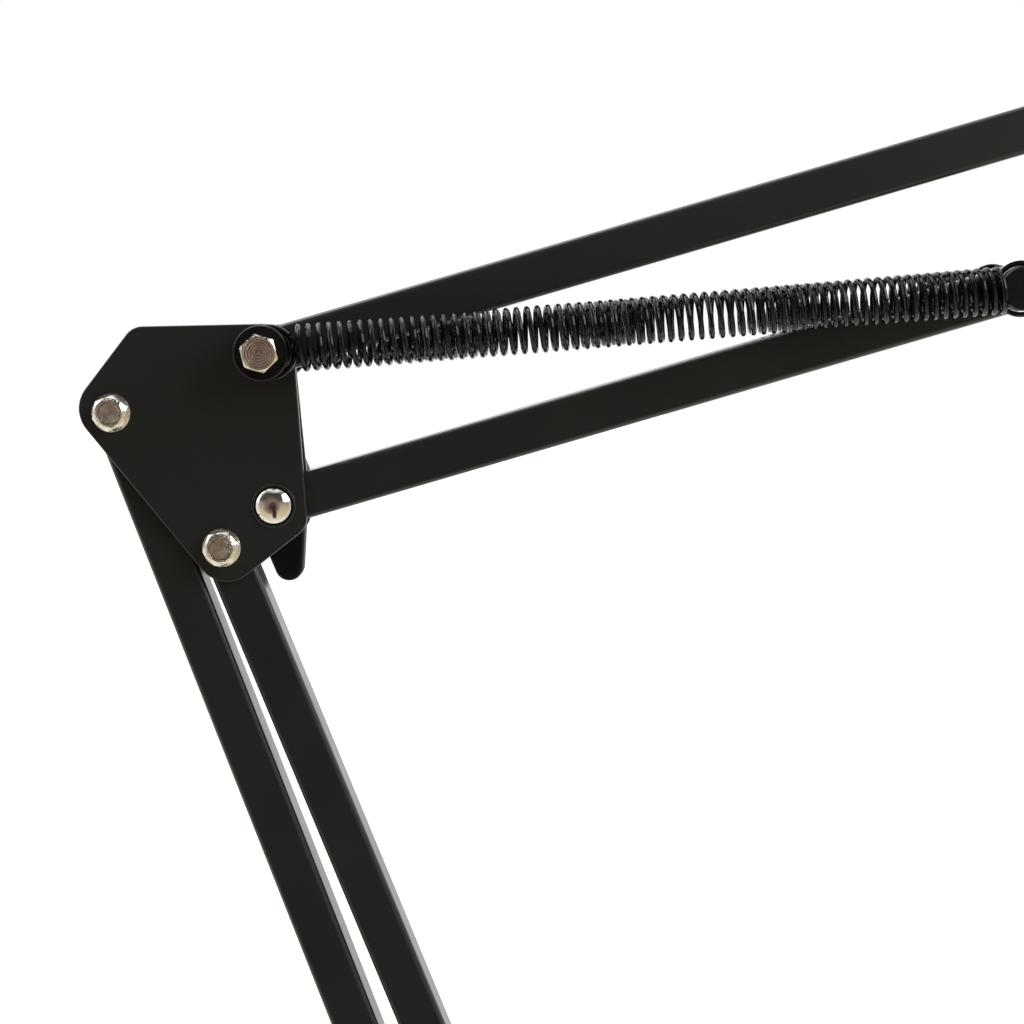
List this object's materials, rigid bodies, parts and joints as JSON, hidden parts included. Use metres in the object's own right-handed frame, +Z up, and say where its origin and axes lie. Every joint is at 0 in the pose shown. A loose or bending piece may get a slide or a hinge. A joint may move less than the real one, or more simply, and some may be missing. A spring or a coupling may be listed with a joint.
{
  "type": "swing arm desk lamp",
  "caption": "Clamp-on desk lamp with twin-bar sprung lower and upper arms, plated elbow, wing knobs and a domed shade on a tilting, turning head.",
  "frame": {"origin": "centre of the clamp's upper contact face, where it rests on the desk top", "axes": "+Z up, +X from the clamp over the desk, the arms swing in the XZ plane about axes along Y"},
  "size_m": [0.4791, 0.1538, 0.6508],
  "materials": {
    "black_paint": "satin black powder paint",
    "black_spring_wire": "glossy black",
    "nickel": "bright nickel plate",
    "gloss_black_plastic": "glossy moulded",
    "black_plastic": "fine moulded texture",
    "nylon": "natural nylon",
    "rubber": "matt",
    "bright_steel": "zinc plated, turned",
    "button_plastic": "glossy moulded",
    "brass": "bright",
    "bulb_metal": "rolled thread",
    "white_plastic": "smooth",
    "opal_glass": "opal"
  },
  "bodies": {
    "clamp": {"clamp_frame": "black_paint", "clamp_jaw_liner": "rubber", "clamp_post_bush": "nylon"},
    "clamp_pad": {"clamp_pad": "bright_steel"},
    "clamp_screw": {"clamp_screw": "bright_steel", "clamp_handle": "black_plastic"},
    "base_bracket": {"swivel_post": "bright_steel", "base_rivets": "black_paint", "base_plate_front": "black_paint", "base_plate_rear": "black_paint", "base_pivot_bolts": "nickel", "base_nuts": "nickel", "base_washers": "nylon", "base_spring_bolt": "nickel", "base_spring_spools": "gloss_black_plastic"},
    "lower_rear_bar": {"lower_rear_bar": "black_paint", "lower_rear_bar_plugs": "black_plastic", "lower_spring_pin": "gloss_black_plastic", "lower_spring_pin_loops": "black_spring_wire"},
    "lower_front_bar": {"lower_front_bar": "black_paint", "lower_front_bar_plugs": "black_plastic"},
    "lower_spring_near": {"lower_springs": "black_spring_wire"},
    "lower_spring_far": {"lower_spring_end_turns": "black_spring_wire"},
    "elbow": {"elbow_plate_front": "black_paint", "elbow_plate_rear": "black_paint", "elbow_pivot_bolts": "nickel", "elbow_nuts": "nickel", "elbow_washers": "nylon", "elbow_spring_bolt": "nickel", "elbow_spring_spools": "gloss_black_plastic", "elbow_carriage_bolt": "nickel"},
    "elbow_knob": {"elbow_wing_knob": "black_plastic"},
    "upper_bottom_bar": {"upper_bottom_bar": "black_paint", "upper_bottom_bar_plugs": "black_plastic", "upper_spring_pin": "gloss_black_plastic", "upper_spring_pin_loops": "black_spring_wire"},
    "upper_top_bar": {"upper_top_bar": "black_paint", "upper_top_bar_plugs": "black_plastic"},
    "upper_spring_near": {"upper_springs": "black_spring_wire"},
    "upper_spring_far": {"upper_spring_end_turns": "black_spring_wire"},
    "head_bracket": {"head_plate_front": "black_paint", "head_plate_rear": "black_paint", "head_pivot_bolts": "nickel", "head_pivot_nuts": "nickel", "head_washers": "nylon", "head_carriage_bolt": "nickel"},
    "head_knob": {"head_wing_knob": "black_plastic"},
    "tilt_block": {"head_tilt_block": "black_paint", "swivel_nut": "nickel"},
    "lamp_head": {"lamp_housing": "black_paint", "lamp_holder": "black_plastic", "lamp_holder_contacts": "brass", "shade_ring": "black_plastic", "lamp_shade": "black_paint", "bulb_cap": "bulb_metal", "bulb_skirt": "white_plastic", "bulb_glass": "opal_glass", "switch_body": "black_plastic", "cord_gland": "black_plastic"},
    "switch_button": {"switch_button": "button_plastic"}
  },
  "joints": [
    {"name": "pad_travel", "type": "slide", "parent": "clamp", "child": "clamp_pad", "axis": [0, 0, 1], "range_m": [-0.018, 0.024]},
    {"name": "screw_turn", "type": "hinge", "parent": "clamp_pad", "child": "clamp_screw", "pos_m": [0, 0, -0.07], "axis": [0, 0, 1], "range_deg": [-4345, 5785]},
    {"name": "base_swivel", "type": "hinge", "parent": "clamp", "child": "base_bracket", "pos_m": [0, 0, 0.012], "axis": [0, 0, 1], "continuous": true},
    {"name": "lower_arm_tilt", "type": "hinge", "parent": "base_bracket", "child": "lower_rear_bar", "pos_m": [-0.013, 0, 0.062], "axis": [0, 1, 0], "range_deg": [-1.5, 55]},
    {"name": "lower_front_bar_tilt", "type": "hinge", "parent": "base_bracket", "child": "lower_front_bar", "pos_m": [0.01737, 0, 0.03509], "axis": [0, 1, 0], "range_deg": [-2.02, 56.28]},
    {"name": "elbow_level", "type": "hinge", "parent": "lower_rear_bar", "child": "elbow", "pos_m": [-0.13586, 0, 0.38973], "axis": [0, 1, 0], "range_deg": [-64.74, 2.25]},
    {"name": "lower_spring_swing", "type": "hinge", "parent": "base_bracket", "child": "lower_spring_near", "pos_m": [-0.02884, 0, 0.05977], "axis": [0, 1, 0], "range_deg": [-1.97, 54.27]},
    {"name": "lower_spring_stretch", "type": "slide", "parent": "lower_spring_near", "child": "lower_spring_far", "axis": [-0.2611, 0, 0.9653], "range_m": [-0.00059, 0.0146], "deforming": ["lower_springs"]},
    {"name": "elbow_knob_turn", "type": "hinge", "parent": "elbow", "child": "elbow_knob", "pos_m": [-0.10077, 0, 0.36942], "axis": [0, 1, 0], "range_deg": [-180, 180]},
    {"name": "upper_arm_tilt", "type": "hinge", "parent": "elbow", "child": "upper_bottom_bar", "pos_m": [-0.10077, 0, 0.36942], "axis": [0, 1, 0], "range_deg": [-30, 35]},
    {"name": "upper_top_bar_tilt", "type": "hinge", "parent": "elbow", "child": "upper_top_bar", "pos_m": [-0.1024, 0, 0.40276], "axis": [0, 1, 0], "range_deg": [-30.5, 35.5]},
    {"name": "upper_spring_swing", "type": "hinge", "parent": "elbow", "child": "upper_spring_near", "pos_m": [-0.1024, 0, 0.40276], "axis": [0, 1, 0], "range_deg": [-30.4, 35.38]},
    {"name": "upper_spring_stretch", "type": "slide", "parent": "upper_spring_near", "child": "upper_spring_far", "axis": [0.9965, 0, 0.0841], "range_m": [-0.01688, 0.01966], "deforming": ["upper_springs"]},
    {"name": "head_level", "type": "hinge", "parent": "upper_bottom_bar", "child": "head_bracket", "pos_m": [0.23522, 0, 0.46745], "axis": [0, 1, 0], "range_deg": [-35.5, 30.5]},
    {"name": "head_knob_turn", "type": "hinge", "parent": "head_bracket", "child": "head_knob", "pos_m": [0.25922, 0, 0.45945], "axis": [0, 1, 0], "range_deg": [-180, 180]},
    {"name": "head_tilt", "type": "hinge", "parent": "head_bracket", "child": "tilt_block", "pos_m": [0.25922, 0, 0.45945], "axis": [0, 1, 0], "range_deg": [-60, 30]},
    {"name": "head_swivel", "type": "hinge", "parent": "tilt_block", "child": "lamp_head", "pos_m": [0.25922, 0, 0.43545], "axis": [0, 0, 1], "range_deg": [-170, 170]},
    {"name": "switch_press", "type": "slide", "parent": "lamp_head", "child": "switch_button", "axis": [-1, 0, 0], "range_m": [0, 0.002], "stiffness_N_per_m": 400}
  ],
  "couplings": [
    {"joint": "screw_turn", "follows": "pad_travel", "rad_per_m": 4188.8},
    {"joint": "lower_front_bar_tilt", "follows": "lower_arm_tilt", "ratio": 1.0142},
    {"joint": "elbow_level", "follows": "lower_arm_tilt", "ratio": -1.168},
    {"joint": "lower_spring_swing", "follows": "lower_arm_tilt", "ratio": 0.9777},
    {"joint": "lower_spring_stretch", "follows": "lower_arm_tilt", "m_per_rad": 0.015003},
    {"joint": "upper_top_bar_tilt", "follows": "upper_arm_tilt", "ratio": 1},
    {"joint": "upper_spring_swing", "follows": "upper_arm_tilt", "ratio": 0.9965},
    {"joint": "upper_spring_stretch", "follows": "upper_arm_tilt", "m_per_rad": 0.031863},
    {"joint": "head_level", "follows": "upper_arm_tilt", "ratio": -1}
  ]
}
